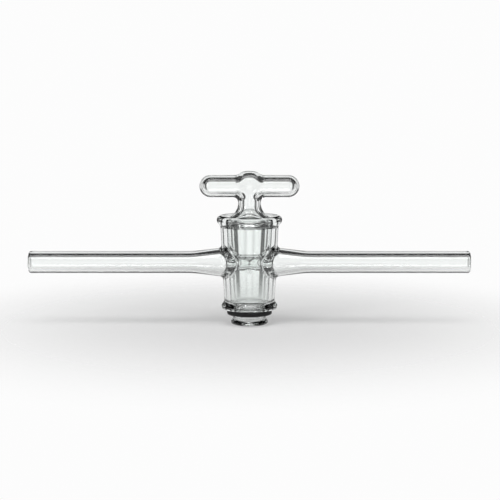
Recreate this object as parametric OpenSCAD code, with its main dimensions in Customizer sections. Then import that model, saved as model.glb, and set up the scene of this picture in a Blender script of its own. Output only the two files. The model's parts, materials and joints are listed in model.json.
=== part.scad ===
// Two-way glass stopcock with a hollow glass plug.
// Frame: millimetres, +Z up along the plug, +X along the flow passage.
// The origin is where the plug's axis crosses the axis of the passage.

/* [Side arms] */
// Overall length, from one arm's end to the other's
span = 200; // [140:5:260]
// Outer diameter of the arm tubing
arm_od = 10; // [9:0.5:10.5]
// Inner diameter of the arm tubing
arm_id = 6; // [5:0.5:6]
// Outer diameter of an arm where it is sealed to the barrel
root_od = 12.6; // [12:0.1:14]
// Distance from the plug's axis at which an arm starts to widen
root_start = 25; // [22:1:32]

/* [Ground joint] */
// Diameter of the plug at the height of the passage
plug_d = 19.1; // [18:0.1:19.6]
// Taper of the joint: loss of diameter for each millimetre of length
taper = 0.1; // [0.09:0.01:0.11]
// Radial clearance between the plug and the barrel
joint_gap = 0.03; // [0.02:0.01:0.06]
// Diameter of the hole through the plug
bore_d = 4; // [2:0.5:4.5]

/* [Barrel] */
// Thickness of the barrel's wall
barrel_wall = 2.75; // [2.4:0.05:3]
// Height of the barrel's top above the passage
barrel_top = 21.3; // [20.5:0.1:22]
// Depth of the barrel's bottom below the passage
barrel_bottom = 21.4; // [20.8:0.1:21.5]

/* [Plug] */
// Thickness of the plug's wall
plug_wall = 2.35; // [2:0.05:2.6]
// Thickness of the wall round the hole through the plug
bore_wall = 1.7; // [1.2:0.1:2]
// Height of the cross bar's centre above the passage
bar_z = 34.5; // [33:0.1:36]
// Outer diameter of the cross bar
bar_d = 10; // [9:0.5:10]
// Length of the cross bar
bar_len = 45; // [38:1:52]

/* [Retaining ring] */
// Outer diameter of the ring
ring_od = 20.5; // [19:0.5:21]
// Height of the ring
ring_h = 2.2; // [1.8:0.1:2.4]

/* [Hidden] */
$fn = 96;
ARC_STEPS = 12;
// How far a cut runs past the face that it opens
past = 0.5;

// Barrel: beads are given by their own radius, the circle they run round, and the angle
// at which their arc leaves for the straight run to the wall.
seat_r = plug_d / 2 + joint_gap;
top_bead_r = 2;
top_bead_ring_r = 12.8;
top_bead_leave = -50;
top_bead_run = 3.2;
bottom_bead_r = 1.4;
bottom_bead_ring_r = 11.3;
bottom_bead_leave = 75;
bottom_bead_run = 2.2;
mouth_round = 2.4;
mouth_z = barrel_top - 2.55;
mouth_leave = 110;
mouth_run = 1.5;

// Arms: an arm's glass starts inside the barrel's wall, swollen where it is sealed on.
arm_wall = (arm_od - arm_id) / 2;
root_x = 13.4;
root_id = root_od - 2 * arm_wall;
root_start_x = 9.2;
root_swell = 1.1;
root_neck_x = 12.5;
root_neck_swell = 0.45;
port_start_x = 7.5;
port_start_swell = 1.2;
port_x = 12.8;
port_swell = 0.4;
port_flare = 4;
port_turn = 215;

// Plug: a name that ends in turn is the angle, in degrees, at which an arc starts or ends.
// The neck and its hollow narrow upwards until they are smaller than the bar's by the inset.
shoulder_z = 19.7;
shoulder_round = 0.7;
shoulder_turn = 60;
neck_r = 5.1;
neck_z = 27;
neck_wall = 1.85;
neck_turn = 247;
inner_neck_turn = 237;
neck_inset = 0.1;
flare_r = 7.4;
land_end_z = -20.6;
land_chamfer = 0.3;
groove_r = 7.6;
groove_top_z = -21.4;
groove_bottom_z = -24.9;
lip_ring_r = 7.4;
lip_r = 1;
lip_z = -27.25;
lip_turn = 40;
cavity_r = plug_d / 2 - plug_wall;
chamber_end_z = -19.9;
chamber_top_z = 17.6;
pinch_r = 4.9;
pinch_top_z = -22.3;
pinch_bottom_z = -24.3;
hump_r = 7.6;
hump_rise = 2.1;
bar_wall = 2;
bar_in_r = bar_d / 2 - bar_wall;
neck_top_r = bar_d / 2 - neck_inset;
inner_neck_top_r = bar_in_r - neck_inset;

// Ring
ring_z = -22.7;
ring_round = 0.6;

// Radius of a cone on the joint's taper whose radius at the passage is r.
function tapered(r, z) = r + z * taper / 2;

// Points along an arc about [x, y], from angle a to angle b in degrees.
function arc(x, y, r, a, b) =
    [for (i = [0:ARC_STEPS]) let (t = a + (b - a) * i / ARC_STEPS) [x + r * cos(t), y + r * sin(t)]];

// Turns a profile of [radius, height] about the plug's axis.
module turned(profile) {
    rotate_extrude() polygon(profile);
}

// Turns a profile of [radius, distance from the origin] about the passage, towards +X.
module turned_along_x(profile) {
    rotate([0, 90, 0]) rotate_extrude() polygon(profile);
}

// Makes a child on the +X side again on the -X side.
module both_sides() {
    children();
    rotate([0, 0, 180]) children();
}

// The outside of the barrel, filled to the axis, with its two beaded rims.
module barrel_outside() {
    wall_r = seat_r + barrel_wall;
    low_z = bottom_bead_r - barrel_bottom;
    high_z = barrel_top - top_bead_r;
    wall_low_z = low_z + bottom_bead_run;
    wall_high_z = high_z - top_bead_run;
    turned(concat(
        [[0, -barrel_bottom], [bottom_bead_ring_r, -barrel_bottom]],
        arc(bottom_bead_ring_r, low_z, bottom_bead_r, -90, bottom_bead_leave),
        [[tapered(wall_r, wall_low_z), wall_low_z], [tapered(wall_r, wall_high_z), wall_high_z]],
        arc(top_bead_ring_r, high_z, top_bead_r, top_bead_leave, 90),
        [[0, barrel_top]]
    ));
}

// The ground seat for the plug, with a mouth that rolls outwards at the top.
module barrel_seat() {
    below_z = -barrel_bottom - past;
    above_z = barrel_top + past;
    round_r = tapered(seat_r, mouth_z) + mouth_round;
    turned(concat(
        [[0, below_z], [tapered(seat_r, below_z), below_z]],
        arc(round_r, mouth_z, mouth_round, 180, mouth_leave),
        [[round_r + mouth_run, above_z], [0, above_z]]
    ));
}

// An arm's outside: tubing with a rounded end that widens towards the barrel.
module arm_outside() {
    end_r = arm_wall / 2;
    mid_r = arm_id / 2 + end_r;
    root_r = root_od / 2;
    turned_along_x(concat(
        [[0, root_start_x], [root_r + root_swell, root_start_x]],
        [[root_r + root_neck_swell, root_neck_x], [root_r, root_x]],
        [[arm_od / 2, root_start], [arm_od / 2, span / 2 - end_r]],
        arc(mid_r, span / 2 - end_r, end_r, 0, 90),
        [[0, span / 2]]
    ));
}

// An arm's passage: it widens towards the barrel and opens like a trumpet at the seat.
module arm_passage() {
    end_r = arm_wall / 2;
    mid_r = arm_id / 2 + end_r;
    trumpet_r = root_id / 2 + port_swell + port_flare;
    turned_along_x(concat(
        [[0, port_start_x], [root_id / 2 + port_start_swell, port_start_x]],
        arc(trumpet_r, port_x, port_flare, port_turn, 180),
        [[arm_id / 2, root_start]],
        arc(mid_r, span / 2 - end_r, end_r, 180, 90),
        [[mid_r, span / 2 + past], [0, span / 2 + past]]
    ));
}

// The outside of the plug below its cross bar, filled to the axis.
module plug_outside() {
    body_r = plug_d / 2;
    top_r = tapered(body_r, shoulder_z - shoulder_round);
    land_r = tapered(body_r, land_end_z);
    turned(concat(
        [[0, lip_z - lip_r], [lip_ring_r, lip_z - lip_r]],
        arc(lip_ring_r, lip_z, lip_r, -90, lip_turn),
        [[groove_r, groove_bottom_z], [groove_r, groove_top_z]],
        [[land_r - land_chamfer, land_end_z - land_chamfer], [land_r, land_end_z]],
        arc(top_r - shoulder_round, shoulder_z - shoulder_round, shoulder_round, 0, shoulder_turn),
        arc(neck_r + flare_r, neck_z, flare_r, neck_turn, 180),
        [[neck_top_r, bar_z], [0, bar_z]]
    ));
}

// The space inside the plug below its cross bar, open at the lip.
module plug_inside() {
    inner_neck_r = neck_r - neck_wall;
    below_z = lip_z - lip_r - past;
    turned(concat(
        [[0, below_z], [lip_ring_r, below_z]],
        arc(lip_ring_r, lip_z, lip_r, -90, -180),
        [[pinch_r, pinch_bottom_z], [pinch_r, pinch_top_z]],
        [[tapered(cavity_r, chamber_end_z), chamber_end_z]],
        [[tapered(cavity_r, chamber_top_z), chamber_top_z]],
        arc(inner_neck_r + flare_r, neck_z, flare_r, inner_neck_turn, 180),
        [[inner_neck_top_r, bar_z], [0, bar_z]]
    ));
}

// A round bar along X with half-round ends, and a low hump on the middle of its top.
module bar(r, len, hump) {
    flat = len / 2 - r;
    translate([0, 0, bar_z]) turned_along_x(concat(arc(0, -flat, r, -90, 0), arc(0, flat, r, 0, 90)));
    intersection() {
        translate([0, 0, bar_z + bar_d / 2 + hump_rise - hump_r]) sphere(hump);
        translate([-hump_r, 0, bar_z + hump_rise]) rotate([0, 90, 0]) cylinder(r = r, h = 2 * hump_r);
    }
}

// Glass barrel: the conical shell with both side arms sealed to it.
module barrel() {
    color([0.82, 0.9, 0.9, 0.5]) difference() {
        union() {
            barrel_outside();
            both_sides() arm_outside();
        }
        barrel_seat();
        both_sides() arm_passage();
    }
}

// Hollow glass plug: ground body, handle and pinched end, with a tube across it for the flow.
module plug() {
    tube_d = bore_d + 2 * bore_wall;
    color([0.86, 0.93, 0.94, 0.5]) difference() {
        union() {
            plug_outside();
            bar(bar_d / 2, bar_len, hump_r);
        }
        difference() {
            plug_inside();
            translate([-plug_d, 0, 0]) rotate([0, 90, 0]) cylinder(d = tube_d, h = 2 * plug_d);
        }
        bar(bar_in_r, bar_len - 2 * bar_wall, hump_r - bar_wall);
        translate([-plug_d, 0, 0]) rotate([0, 90, 0]) cylinder(d = bore_d, h = 2 * plug_d);
    }
}

// Black rubber ring that sits in the plug's groove and keeps the plug in the barrel.
module retaining_ring() {
    in_r = groove_r + ring_round;
    out_r = ring_od / 2 - ring_round;
    half_h = ring_h / 2 - ring_round;
    color([0.08, 0.08, 0.08]) turned(concat(
        arc(out_r, ring_z - half_h, ring_round, -90, 0),
        arc(out_r, ring_z + half_h, ring_round, 0, 90),
        arc(in_r, ring_z + half_h, ring_round, 90, 180),
        arc(in_r, ring_z - half_h, ring_round, 180, 270)
    ));
}

barrel();
plug();
retaining_ring();
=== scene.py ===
import json
import math

import bpy
import numpy as np
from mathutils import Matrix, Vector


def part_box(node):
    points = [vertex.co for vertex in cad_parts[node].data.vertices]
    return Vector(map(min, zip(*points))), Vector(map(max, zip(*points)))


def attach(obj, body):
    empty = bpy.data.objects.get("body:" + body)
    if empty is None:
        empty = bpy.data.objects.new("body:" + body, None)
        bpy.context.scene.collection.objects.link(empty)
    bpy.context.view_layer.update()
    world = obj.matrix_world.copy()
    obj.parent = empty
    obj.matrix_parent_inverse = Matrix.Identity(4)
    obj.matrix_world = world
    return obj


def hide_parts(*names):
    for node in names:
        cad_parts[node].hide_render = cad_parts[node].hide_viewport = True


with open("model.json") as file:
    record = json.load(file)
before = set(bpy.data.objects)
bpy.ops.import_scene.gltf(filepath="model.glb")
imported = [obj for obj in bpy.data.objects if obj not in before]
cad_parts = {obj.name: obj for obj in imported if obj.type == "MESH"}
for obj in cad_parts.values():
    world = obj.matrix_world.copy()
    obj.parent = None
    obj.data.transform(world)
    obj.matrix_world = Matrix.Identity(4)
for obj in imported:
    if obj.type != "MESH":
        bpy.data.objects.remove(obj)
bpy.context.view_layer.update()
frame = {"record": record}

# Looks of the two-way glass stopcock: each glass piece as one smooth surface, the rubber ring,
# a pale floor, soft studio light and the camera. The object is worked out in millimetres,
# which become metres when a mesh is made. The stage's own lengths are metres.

import openvdb
from mathutils import Vector

MM = 0.001
MOUNTS = {mount["name"]: mount for mount in frame["record"]["mounts"]}


def box_mm(node):
    """Lowest and highest corners of a CAD node, in millimetres."""
    low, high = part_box(node)
    return np.array(low) / MM, np.array(high) / MM


BARREL_LOW, BARREL_HIGH = box_mm("barrel")
PLUG_LOW, PLUG_HIGH = box_mm("plug")
RING_LOW, RING_HIGH = box_mm("retaining_ring")

# Side arms: a flare is the gain of radius for each millimetre towards the barrel. The passage
# flares again at the port, where it opens into the seat.
ARM_R = MOUNTS["left_arm"]["dims"]["r_mm"]
PASSAGE_R = MOUNTS["left_passage"]["dims"]["r_mm"]
ARM_END = BARREL_HIGH[0]
ARM_WALL = ARM_R - PASSAGE_R
FLARE_START = 25.3
FLARE_OUT = 0.122
FLARE_IN = 0.132
FLARE_SOFT = 1.0
PORT_START = 12.6
PORT_FLARE = 0.30
PORT_SOFT = 0.5
ROOT_FILLET = 1.5

# Ground joint: radii at the height of the passage, and the slope of its cones. Glass is ground
# where it is this near the cone and, on the plug, these gaps inside the ends of its taper.
SLOPE = 0.05
PLUG_R = 9.55
SEAT_R = 9.58
BORE_R = MOUNTS["through_bore"]["dims"]["r_mm"]
GROUND_EDGE = 0.3
GROUND_NEAR = 0.03
GROUND_TOP_GAP = 1
GROUND_LOW_GAP = 0.4

# Barrel: each bead has its own radius and the radius of the ring that it runs round.
SHELL_R = 12.33
TOP = BARREL_HIGH[2]
BOTTOM = BARREL_LOW[2]
TOP_BEAD = 2.0
TOP_BEAD_RING = 12.8
LOW_BEAD = 1.4
LOW_BEAD_RING = 11.3
BEAD_FILLET = 1.6
MOUTH_ROUND = 2.4
FOOT_ROUND = 0.7

# Handle and neck: a fillet fills a join and a round softens an edge.
BAR_R = 5.0
BAR_HALF = PLUG_HIGH[0]
BAR_WALL = 2.0
BAR_FILLET = 2.4
HUMP_R = 7.6
HUMP_TOP = PLUG_HIGH[2]
HUMP_RISE = 2.1
HUMP_FILL = 0.1
HUMP_ROUND = 1.0
HUMP_FILLET = 0.8
HUMP_IN_ROUND = 0.6
HUMP_IN_FILLET = 1.2
BAR_Z = HUMP_TOP - HUMP_RISE - BAR_R
NECK_R = 5.1
NECK_IN_R = 3.3
NECK_FLARE = 7.4

# Plug's body, the tube across it, and the open end below
SHOULDER_Z = 19.7
SHOULDER_IN_Z = 18.4
SHOULDER_ROUND = 0.7
SHOULDER_IN_ROUND = 1.2
CHAMBER_R = 7.2
CHAMBER_LOW = BOTTOM + 1.3
CHAMBER_ROUND = 1.5
TUBE_R = 3.7
TUBE_FILLET = 2.3
LAND_END = BOTTOM + 0.7
LAND_ROUND = 0.5
THROAT_R = 7.55
THROAT_TOP = -19
THROAT_FILLET = 0.5
THROAT_IN_R = 4.9
THROAT_IN_TOP = -17
THROAT_IN_FILLET = 1.6
WALL_EDGE = 0.3
LIP_RING = 7.4
LIP_ROUND = 1.0
LIP_Z = PLUG_LOW[2] + LIP_ROUND

# Rubber ring: its mould line is a thin ridge, with a flat crest, round the middle of its rim.
GROOVE_GAP = 0.05
RING_CORNER = 0.6
MOULD_HEIGHT = 0.05
MOULD_HALF_FOOT = 0.06
MOULD_HALF_CREST = 0.02
RING_SEGMENTS = 256
CORNER_STEPS = 8

# Mesh steps, the empty margin round a field's grid, and how points are moved onto a surface:
# how many times, how far at most each time, and the least squared slope that a move divides by.
FINE = 0.38
LONG = 2.0
MARGIN = 1
FINE_PAST_FLARE = 2
FINE_AT_END = 3
SLOPE_STEP = 1e-3
SNAP_ROUNDS = 5
SNAP_LIMIT = 0.3
LEAST_SLOPE_SQUARED = 0.2

# Glass: the spread is the share by which the roughness of ground glass varies, either way.
GLASS_IOR = 1.474
GLASS_TINT = (0.99, 1.0, 0.995)
GLASS_DEPTH_TINT = (0.74, 0.79, 0.775)
GLASS_DEPTH_DENSITY = 20.0
GROUND_ROUGHNESS = 0.02
GROUND_SPREAD = 0.3
HAZE_ROUGHNESS = 0.008
WAVE_STRETCH = (0.25, 1.0, 1.0)

# Stage, in metres but for the sensor. Each edge is a pair: where a change starts and ends.
# GAP_EDGE is in values of the wave that makes the panels. The other two are heights of the
# direction looked in, from -1 for straight down to 1 for straight up.
FLOOR_Z = PLUG_LOW[2] * MM
FLOOR_SOLID = 0.02
FLOOR_GONE = 0.18
FLOOR_GLOW = 0.41
FLOOR_GREY = 0.46
PANELS = 8
GAP_EDGE = (-0.6, -0.3)
GAP_FOOT_EDGE = (-0.45, -0.25)
SKY_EDGE = (0.10, 0.22)
WALL_LIGHT = 1.22
GAP_LIGHT = 0.02
SKY_LIGHT = 0.03
LIGHT_TARGET = (0, 0, 0)
SENSOR_MM = 36
CAMERA_DISTANCE = 0.65
CAMERA_TILT = math.radians(7.2)
CAMERA_X = 0.25 * MM
CAMERA_AIM_Z = 5.5 * MM
CAMERA_WIDTH = 0.2266
CAMERA_CLIP = 0.01


def smooth_min(a, b, k):
    """Joins two fields with a round fillet of radius k."""
    return np.maximum(k, np.minimum(a, b)) - np.hypot(np.maximum(k - a, 0), np.maximum(k - b, 0))


def smooth_max(a, b, k):
    """Cuts one field by another and rounds the edge with radius k."""
    return -smooth_min(-a, -b, k)


def soft_ramp(t, softness):
    """Zero below 0 and t above it, with a soft turn between."""
    return softness * np.logaddexp(0, t / softness)


def cone(r, z, radius):
    """A cone on the joint's taper, whose radius at the passage is given."""
    return (r - radius - SLOPE * z) / math.hypot(1, SLOPE)


def barrel_field(x, y, z):
    """Signed distance to the glass of the barrel and its arms, negative inside.

    Here and in the plug's field, r is the distance from the plug's axis, and from_passage is
    the distance from the passage's axis.
    """
    along = np.abs(x)
    r = np.hypot(x, y)
    from_passage = np.hypot(y, z)
    top_z = TOP - TOP_BEAD
    low_z = BOTTOM + LOW_BEAD
    shell = np.maximum(cone(r, z, SHELL_R), np.maximum(z - top_z, low_z - z))
    top_bead = np.hypot(r - TOP_BEAD_RING, z - top_z) - TOP_BEAD
    low_bead = np.hypot(r - LOW_BEAD_RING, z - low_z) - LOW_BEAD
    shell = smooth_min(shell, top_bead, BEAD_FILLET)
    shell = smooth_min(shell, low_bead, BEAD_FILLET)
    top_fill = np.maximum(r - TOP_BEAD_RING, np.maximum(z - TOP, top_z - z))
    low_fill = np.maximum(r - LOW_BEAD_RING, np.maximum(BOTTOM - z, z - low_z))
    shell = np.minimum(shell, np.minimum(top_fill, low_fill))

    widening = soft_ramp(FLARE_START - along, FLARE_SOFT)
    arm = from_passage - ARM_R - FLARE_OUT * widening
    port = PORT_FLARE * soft_ramp(PORT_START - along, PORT_SOFT)
    passage = from_passage - PASSAGE_R - FLARE_IN * widening - port
    outside = smooth_min(shell, arm, ROOT_FILLET)

    off_seat = -cone(r, z, SEAT_R)
    rim = np.where(z > 0, smooth_max(off_seat, z - TOP, MOUTH_ROUND),
                   smooth_max(off_seat, BOTTOM - z, FOOT_ROUND))
    glass = np.maximum(outside, smooth_max(rim, -passage, GROUND_EDGE))
    end_round = ARM_WALL / 2
    past = along - (ARM_END - end_round)
    end = np.hypot(np.maximum(past, 0), from_passage - PASSAGE_R - end_round) - end_round
    return np.where(past > 0, end, glass)


def plug_field(x, y, z):
    """Signed distance to the glass of the hollow plug, negative inside."""
    r = np.hypot(x, y)
    from_passage = np.hypot(y, z)
    bar_z = z - BAR_Z
    past = np.maximum(np.abs(x) - (BAR_HALF - BAR_R), 0)
    spine = np.sqrt(past ** 2 + y ** 2 + bar_z ** 2)
    dome = np.sqrt(x ** 2 + y ** 2 + (z - HUMP_TOP + HUMP_R) ** 2) - HUMP_R
    ridge = np.hypot(y, bar_z - HUMP_RISE) - BAR_R
    from_neck_axis = np.hypot(r, np.maximum(bar_z, 0))

    neck = smooth_min(from_neck_axis - NECK_R, z - SHOULDER_Z, NECK_FLARE)
    body = smooth_max(cone(r, z, PLUG_R), neck, SHOULDER_ROUND)
    body = smooth_max(body, LAND_END - z, LAND_ROUND)
    hump = smooth_max(dome, ridge, HUMP_ROUND) - HUMP_FILL
    outside = smooth_min(body, spine - BAR_R, BAR_FILLET)
    outside = smooth_min(outside, hump, HUMP_FILLET)
    throat = np.maximum(r - THROAT_R, np.maximum(LIP_Z - z, z - THROAT_TOP))
    outside = smooth_min(outside, throat, THROAT_FILLET)

    neck_in = smooth_min(from_neck_axis - NECK_IN_R, z - SHOULDER_IN_Z, NECK_FLARE)
    hollow = smooth_max(cone(r, z, CHAMBER_R), neck_in, SHOULDER_IN_ROUND)
    hollow = smooth_max(hollow, CHAMBER_LOW - z, CHAMBER_ROUND)
    hollow = smooth_min(hollow, spine - (BAR_R - BAR_WALL), BAR_FILLET)
    hump_in = smooth_max(dome + BAR_WALL, ridge + BAR_WALL, HUMP_IN_ROUND)
    hollow = smooth_min(hollow, hump_in, HUMP_IN_FILLET)
    throat_in = np.maximum(r - THROAT_IN_R, z - THROAT_IN_TOP)
    hollow = smooth_min(hollow, throat_in, THROAT_IN_FILLET)
    hollow = smooth_max(hollow, TUBE_R - from_passage, TUBE_FILLET)

    glass = smooth_max(outside, -hollow, WALL_EDGE)
    glass = smooth_max(glass, BORE_R - from_passage, GROUND_EDGE)
    lip = np.hypot(r - LIP_RING, z - LIP_Z) - LIP_ROUND
    return smooth_min(glass, lip, LIP_ROUND)


def on_seat(x, y, z):
    """1 on the barrel's ground seat, 0 on its clear glass."""
    near = np.abs(cone(np.hypot(x, y), z, SEAT_R)) < GROUND_NEAR
    return (near & (z < TOP - MOUTH_ROUND) & (z > BOTTOM + FOOT_ROUND)).astype(float)


def on_taper(x, y, z):
    """1 on the plug's ground taper, 0 on its clear glass."""
    near = np.abs(cone(np.hypot(x, y), z, PLUG_R)) < GROUND_NEAR
    top = SHOULDER_Z - GROUND_TOP_GAP
    low = LAND_END + GROUND_LOW_GAP
    return (near & (z < top) & (z > low)).astype(float)


def slope_of(field, points):
    """The field's gradient at each point."""
    columns = []
    for axis in range(3):
        step = np.zeros(3)
        step[axis] = SLOPE_STEP
        rise = field(*(points + step).T) - field(*(points - step).T)
        columns.append(rise / (2 * SLOPE_STEP))
    return np.stack(columns, axis=1)


def snapped(field, points):
    """Moves points onto the field's zero surface."""
    for _ in range(SNAP_ROUNDS):
        slope = slope_of(field, points)
        value = field(*points.T)
        move = value / np.maximum((slope ** 2).sum(axis=1), LEAST_SLOPE_SQUARED)
        points = points - slope * np.clip(move, -SNAP_LIMIT, SNAP_LIMIT)[:, None]
    return points


def span(low, high, step):
    """Evenly spaced places from low to high, about a step apart."""
    return np.linspace(low, high, max(2, round((high - low) / step) + 1))


def linked_mesh(name, points, faces):
    """A smooth-shaded mesh object in the scene, from points in millimetres."""
    mesh = bpy.data.meshes.new(name)
    mesh.from_pydata((points * MM).tolist(), [], faces.tolist())
    mesh.polygons.foreach_set("use_smooth", np.ones(len(faces), dtype=bool))
    piece = bpy.data.objects.new(name, mesh)
    bpy.context.scene.collection.objects.link(piece)
    return piece


def glass_piece(name, field, xs, ys, zs, ground):
    """Turns a field into one closed mesh, with a vertex attribute that is 1 on ground glass."""
    values = np.empty((len(xs), len(ys), len(zs)), dtype=np.float32)
    y_grid, z_grid = np.meshgrid(ys, zs, indexing="ij")
    for i, x in enumerate(xs):
        values[i] = field(np.full_like(y_grid, x), y_grid, z_grid)
    grid = openvdb.FloatGrid(1.0)
    grid.copyFromArray(np.clip(values / FINE, -1, 1))
    cells, quads = grid.convertToQuads()
    points = np.stack([np.interp(cells[:, i], np.arange(len(places)), places)
                       for i, places in enumerate((xs, ys, zs))], axis=1)
    points = snapped(field, points)
    normals = slope_of(field, points)
    normals /= np.linalg.norm(normals, axis=1)[:, None]
    corner = points[quads]
    facing = np.cross(corner[:, 2] - corner[:, 0], corner[:, 3] - corner[:, 1])
    if (facing * normals[quads[:, 0]]).sum() < 0:
        quads = quads[:, ::-1]

    piece = linked_mesh(name, points, quads)
    piece.data.normals_split_custom_set_from_vertices(normals.tolist())
    zone = piece.data.attributes.new("ground", "FLOAT", "POINT")
    zone.data.foreach_set("value", ground(*points.T).astype(np.float32))
    return piece


def make_barrel():
    """The barrel with its arms, whose plain stretches have long mesh steps."""
    core = FLARE_START + FINE_PAST_FLARE
    end = ARM_END - FINE_AT_END
    arm = np.concatenate([span(core, end, LONG)[1:], span(end, ARM_END + MARGIN, FINE)[1:]])
    xs = np.concatenate([-arm[::-1], span(-core, core, FINE), arm])
    reach = TOP_BEAD_RING + TOP_BEAD + MARGIN
    ys = span(-reach, reach, FINE)
    zs = span(BOTTOM - MARGIN, TOP + MARGIN, FINE)
    return glass_piece("glass_barrel", barrel_field, xs, ys, zs, on_seat)


def make_plug():
    """The hollow plug with its handle."""
    xs = span(-BAR_HALF - MARGIN, BAR_HALF + MARGIN, FINE)
    reach = PLUG_R + SLOPE * SHOULDER_Z + MARGIN
    ys = span(-reach, reach, FINE)
    zs = span(PLUG_LOW[2] - MARGIN, PLUG_HIGH[2] + MARGIN, FINE)
    return glass_piece("glass_plug", plug_field, xs, ys, zs, on_taper)


def ring_profile():
    """The ring's section as [radius, height] points, in order round it."""
    out_r = RING_HIGH[0] - MOULD_HEIGHT
    in_r = THROAT_R + GROOVE_GAP
    mid_z = (RING_LOW[2] + RING_HIGH[2]) / 2
    half = (RING_HIGH[2] - RING_LOW[2]) / 2 - RING_CORNER
    corners = [(out_r - RING_CORNER, half, 0), (in_r + RING_CORNER, half, 90),
               (in_r + RING_CORNER, -half, 180), (out_r - RING_CORNER, -half, 270)]
    profile = []
    for corner_r, corner_z, start in corners:
        for i in range(CORNER_STEPS + 1):
            t = math.radians(start + 90 * i / CORNER_STEPS)
            profile.append((corner_r + RING_CORNER * math.cos(t),
                            mid_z + corner_z + RING_CORNER * math.sin(t)))
    crest_r = out_r + MOULD_HEIGHT
    profile += [(out_r, mid_z - MOULD_HALF_FOOT), (crest_r, mid_z - MOULD_HALF_CREST),
                (crest_r, mid_z + MOULD_HALF_CREST), (out_r, mid_z + MOULD_HALF_FOOT)]
    return np.array(profile)


def make_ring():
    """A moulded rubber ring with rounded edges and a thin mould line round its rim."""
    profile = ring_profile()
    count = len(profile)
    turn = 2 * math.pi * np.arange(RING_SEGMENTS)[:, None] / RING_SEGMENTS
    radius, height = profile[:, 0], profile[:, 1]
    points = np.stack([radius * np.cos(turn), radius * np.sin(turn),
                       np.broadcast_to(height, (RING_SEGMENTS, count))], axis=2)
    here = np.arange(RING_SEGMENTS)[:, None] * count
    there = np.roll(here, -1, axis=0)
    i = np.arange(count)
    j = np.roll(i, -1)
    faces = np.stack([here + i, there + i, there + j, here + j], axis=2)
    return linked_mesh("rubber_ring", points.reshape(-1, 3), faces.reshape(-1, 4))


class Nodes:
    """Short calls for building a node tree, which starts empty."""

    def __init__(self, tree):
        self.tree = tree
        self.tree.nodes.clear()

    def add(self, kind, **values):
        """A node with the given properties or, where it has none of that name, inputs."""
        node = self.tree.nodes.new(kind)
        for key, value in values.items():
            if hasattr(node, key):
                setattr(node, key, value)
            else:
                node.inputs[key.replace("_", " ")].default_value = value
        return node

    def link(self, source, output, target, socket):
        """Links a node's output to another node's input."""
        self.tree.links.new(source.outputs[output], target.inputs[socket])

    def noise(self, coords, scale, detail):
        """Noise over coordinates, which are a node and the name of its output."""
        node = self.add("ShaderNodeTexNoise", Scale=scale, Detail=detail)
        self.link(*coords, node, "Vector")
        return node

    def ramp(self, source, output, low, high, start, end, kind="LINEAR"):
        """Turns the source's low to high into start to end, and holds it past them."""
        node = self.add("ShaderNodeMapRange", interpolation_type=kind,
                        From_Min=low, From_Max=high, To_Min=start, To_Max=end)
        self.link(source, output, node, "Value")
        return node

    def override(self, source, switch, output, value):
        """The source's result, turned into a fixed value where the switch is 1."""
        node = self.add("ShaderNodeMix", data_type="FLOAT")
        node.inputs["B"].default_value = value
        self.link(switch, output, node, "Factor")
        self.link(source, "Result", node, "A")
        return node

    def bump(self, source, shader, strength, distance):
        """Roughens a shader's normal by a noise."""
        node = self.add("ShaderNodeBump", Strength=strength, Distance=distance)
        self.link(source, "Fac", node, "Height")
        self.link(node, "Normal", shader, "Normal")


def new_material(name):
    """A new material, with its nodes, its output and a Principled shader linked to that."""
    material = bpy.data.materials.new(name)
    material.use_nodes = True
    nodes = Nodes(material.node_tree)
    out = nodes.add("ShaderNodeOutputMaterial")
    shader = nodes.add("ShaderNodeBsdfPrincipled")
    nodes.link(shader, "BSDF", out, "Surface")
    return material, nodes, out, shader


def glass_material(name):
    """Clear blown glass, finely ground where the mesh's attribute says so."""
    material, nodes, out, shader = new_material(name)
    shader.inputs["Base Color"].default_value = (*GLASS_TINT, 1)
    shader.inputs["Transmission Weight"].default_value = 1.0
    shader.inputs["IOR"].default_value = GLASS_IOR
    coords = (nodes.add("ShaderNodeTexCoord"), "Object")

    grain = nodes.noise(coords, scale=5200.0, detail=2.0)
    ground = nodes.ramp(grain, "Fac", 0.0, 1.0, GROUND_ROUGHNESS * (1 - GROUND_SPREAD),
                        GROUND_ROUGHNESS * (1 + GROUND_SPREAD))
    haze = nodes.noise(coords, scale=90.0, detail=4.0)
    clear = nodes.ramp(haze, "Fac", 0.45, 0.8, 0.0, HAZE_ROUGHNESS)
    zone = nodes.add("ShaderNodeAttribute", attribute_name="ground")
    rough = nodes.add("ShaderNodeMix", data_type="FLOAT")
    nodes.link(zone, "Fac", rough, "Factor")
    nodes.link(clear, "Result", rough, "A")
    nodes.link(ground, "Result", rough, "B")
    nodes.link(rough, "Result", shader, "Roughness")

    stretch = nodes.add("ShaderNodeMapping", Scale=WAVE_STRETCH)
    nodes.link(*coords, stretch, "Vector")
    wave = nodes.noise((stretch, "Vector"), scale=60.0, detail=1.0)
    nodes.bump(wave, shader, strength=0.04, distance=0.0004)

    depth = nodes.add("ShaderNodeVolumeAbsorption")
    depth.inputs["Color"].default_value = (*GLASS_DEPTH_TINT, 1)
    depth.inputs["Density"].default_value = GLASS_DEPTH_DENSITY
    nodes.link(depth, "Volume", out, "Volume")
    return material


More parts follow.
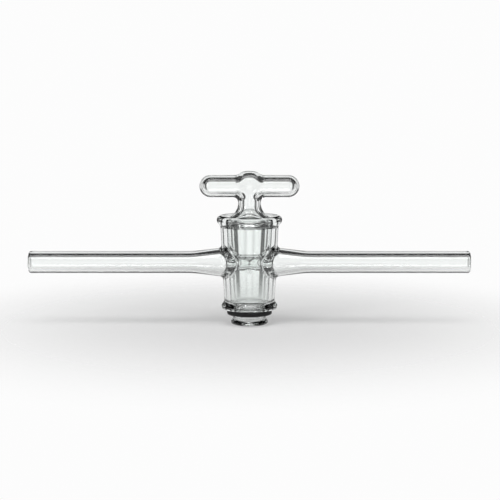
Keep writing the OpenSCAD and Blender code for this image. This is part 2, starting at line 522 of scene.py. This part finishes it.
def rubber_material():
    """Dull black rubber, faintly blotched, with fine pores."""
    material, nodes, _, shader = new_material("black_rubber")
    shader.inputs["IOR"].default_value = 1.5
    shader.inputs["Specular IOR Level"].default_value = 0.3
    coords = (nodes.add("ShaderNodeTexCoord"), "Object")
    blotch = nodes.noise(coords, scale=400.0, detail=6.0)
    colour = nodes.add("ShaderNodeValToRGB")
    dark, light = colour.color_ramp.elements
    dark.position = 0.35
    dark.color = (0.004, 0.004, 0.0045, 1)
    light.position = 0.8
    light.color = (0.014, 0.014, 0.0145, 1)
    nodes.link(blotch, "Fac", colour, "Fac")
    nodes.link(colour, "Color", shader, "Base Color")
    rough = nodes.ramp(blotch, "Fac", 0.0, 1.0, 0.42, 0.68)
    nodes.link(rough, "Result", shader, "Roughness")
    pores = nodes.noise(coords, scale=4000.0, detail=3.0)
    nodes.bump(pores, shader, strength=0.3, distance=0.00005)
    return material


def make_floor():
    """A pale round table top whose edge fades into the pale surroundings."""
    bpy.ops.mesh.primitive_circle_add(vertices=128, radius=FLOOR_GONE, fill_type="NGON",
                                      location=(0, 0, FLOOR_Z))
    floor = bpy.context.object
    floor.name = "floor"
    material, nodes, out, shader = new_material("pale_floor")
    shader.inputs["Roughness"].default_value = 0.7
    shader.inputs["Base Color"].default_value = (FLOOR_GREY, FLOOR_GREY, FLOOR_GREY, 1)
    shader.inputs["Emission Color"].default_value = (1, 1, 1, 1)
    shader.inputs["Emission Strength"].default_value = FLOOR_GLOW
    clear = nodes.add("ShaderNodeBsdfTransparent")
    coords = nodes.add("ShaderNodeTexCoord")
    far = nodes.add("ShaderNodeVectorMath", operation="LENGTH")
    nodes.link(coords, "Object", far, 0)
    fade = nodes.ramp(far, "Value", FLOOR_SOLID, FLOOR_GONE, 0.0, 1.0, "SMOOTHSTEP")
    mix = nodes.add("ShaderNodeMixShader")
    nodes.link(fade, "Result", mix, "Fac")
    nodes.link(shader, "BSDF", mix, 1)
    nodes.link(clear, "BSDF", mix, 2)
    nodes.link(mix, "Shader", out, "Surface")
    floor.data.materials.append(material)


def make_world():
    """A pale tent of panels round the table, with dark gaps that draw the edges of the glass.

    The gaps end below the horizon and the sky above is dark. Past the object the tent looks
    plain and pale from every side, so no gap stands behind it.
    """
    world = bpy.data.worlds.new("studio")
    bpy.context.scene.world = world
    world.use_nodes = True
    nodes = Nodes(world.node_tree)
    out = nodes.add("ShaderNodeOutputWorld")
    back = nodes.add("ShaderNodeBackground")
    coords = nodes.add("ShaderNodeTexCoord")
    parts = nodes.add("ShaderNodeSeparateXYZ")
    nodes.link(coords, "Generated", parts, "Vector")
    turn = nodes.add("ShaderNodeMath", operation="ARCTAN2")
    nodes.link(parts, "Y", turn, 0)
    nodes.link(parts, "X", turn, 1)
    share = nodes.add("ShaderNodeMath", operation="MULTIPLY")
    share.inputs[1].default_value = PANELS
    nodes.link(turn, "Value", share, 0)
    wave = nodes.add("ShaderNodeMath", operation="COSINE")
    nodes.link(share, "Value", wave, 0)
    panel = nodes.ramp(wave, "Value", *GAP_EDGE, GAP_LIGHT, WALL_LIGHT, "SMOOTHSTEP")
    low = nodes.ramp(parts, "Z", *GAP_FOOT_EDGE, 1.0, 0.0, "SMOOTHSTEP")
    high = nodes.ramp(parts, "Z", *SKY_EDGE, 0.0, 1.0, "SMOOTHSTEP")
    path = nodes.add("ShaderNodeLightPath")
    wall = nodes.override(panel, low, "Result", WALL_LIGHT)
    tent = nodes.override(wall, high, "Result", SKY_LIGHT)
    level = nodes.override(tent, path, "Is Camera Ray", WALL_LIGHT)
    nodes.link(level, "Result", back, "Strength")
    nodes.link(back, "Background", out, "Surface")


def soft_light(name, place, size, power):
    """A rectangular area light that faces the object."""
    light = bpy.data.lights.new(name, "AREA")
    light.shape = "RECTANGLE"
    light.size, light.size_y = size
    light.energy = power
    lamp = bpy.data.objects.new(name, light)
    lamp.location = place
    aim = Vector(LIGHT_TARGET) - Vector(place)
    lamp.rotation_euler = aim.to_track_quat("-Z", "Y").to_euler()
    bpy.context.scene.collection.objects.link(lamp)


def make_lights():
    """A large light above the front, and a tall narrow one on the left."""
    soft_light("top_softbox", place=(0, -0.2, 0.6), size=(0.5, 0.36), power=2.6)
    soft_light("left_softbox", place=(-0.45, -0.45, 0.3), size=(0.08, 0.4), power=0.8)


def make_camera():
    """A camera in front and a little above, which shows a set width at the object."""
    camera = bpy.data.cameras.new("camera")
    rig = bpy.data.objects.new("camera", camera)
    bpy.context.scene.collection.objects.link(rig)
    camera.sensor_width = SENSOR_MM
    camera.lens = SENSOR_MM * CAMERA_DISTANCE / CAMERA_WIDTH
    camera.clip_start = CAMERA_CLIP
    rig.location = (CAMERA_X, -CAMERA_DISTANCE * math.cos(CAMERA_TILT),
                    CAMERA_AIM_Z + CAMERA_DISTANCE * math.sin(CAMERA_TILT))
    rig.rotation_euler = (math.pi / 2 - CAMERA_TILT, 0, 0)
    bpy.context.scene.camera = rig


make_camera()
make_floor()
make_world()
make_lights()

barrel = make_barrel()
barrel.data.materials.append(glass_material("barrel_glass"))
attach(barrel, "barrel")
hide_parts("barrel")

plug = make_plug()
plug.data.materials.append(glass_material("plug_glass"))
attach(plug, "plug")
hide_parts("plug")

ring = make_ring()
ring.data.materials.append(rubber_material())
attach(ring, "plug")
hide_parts("retaining_ring")

cycles = bpy.context.scene.cycles
cycles.max_bounces = 32
cycles.transmission_bounces = 32
bpy.context.scene.view_settings.view_transform = "Standard"
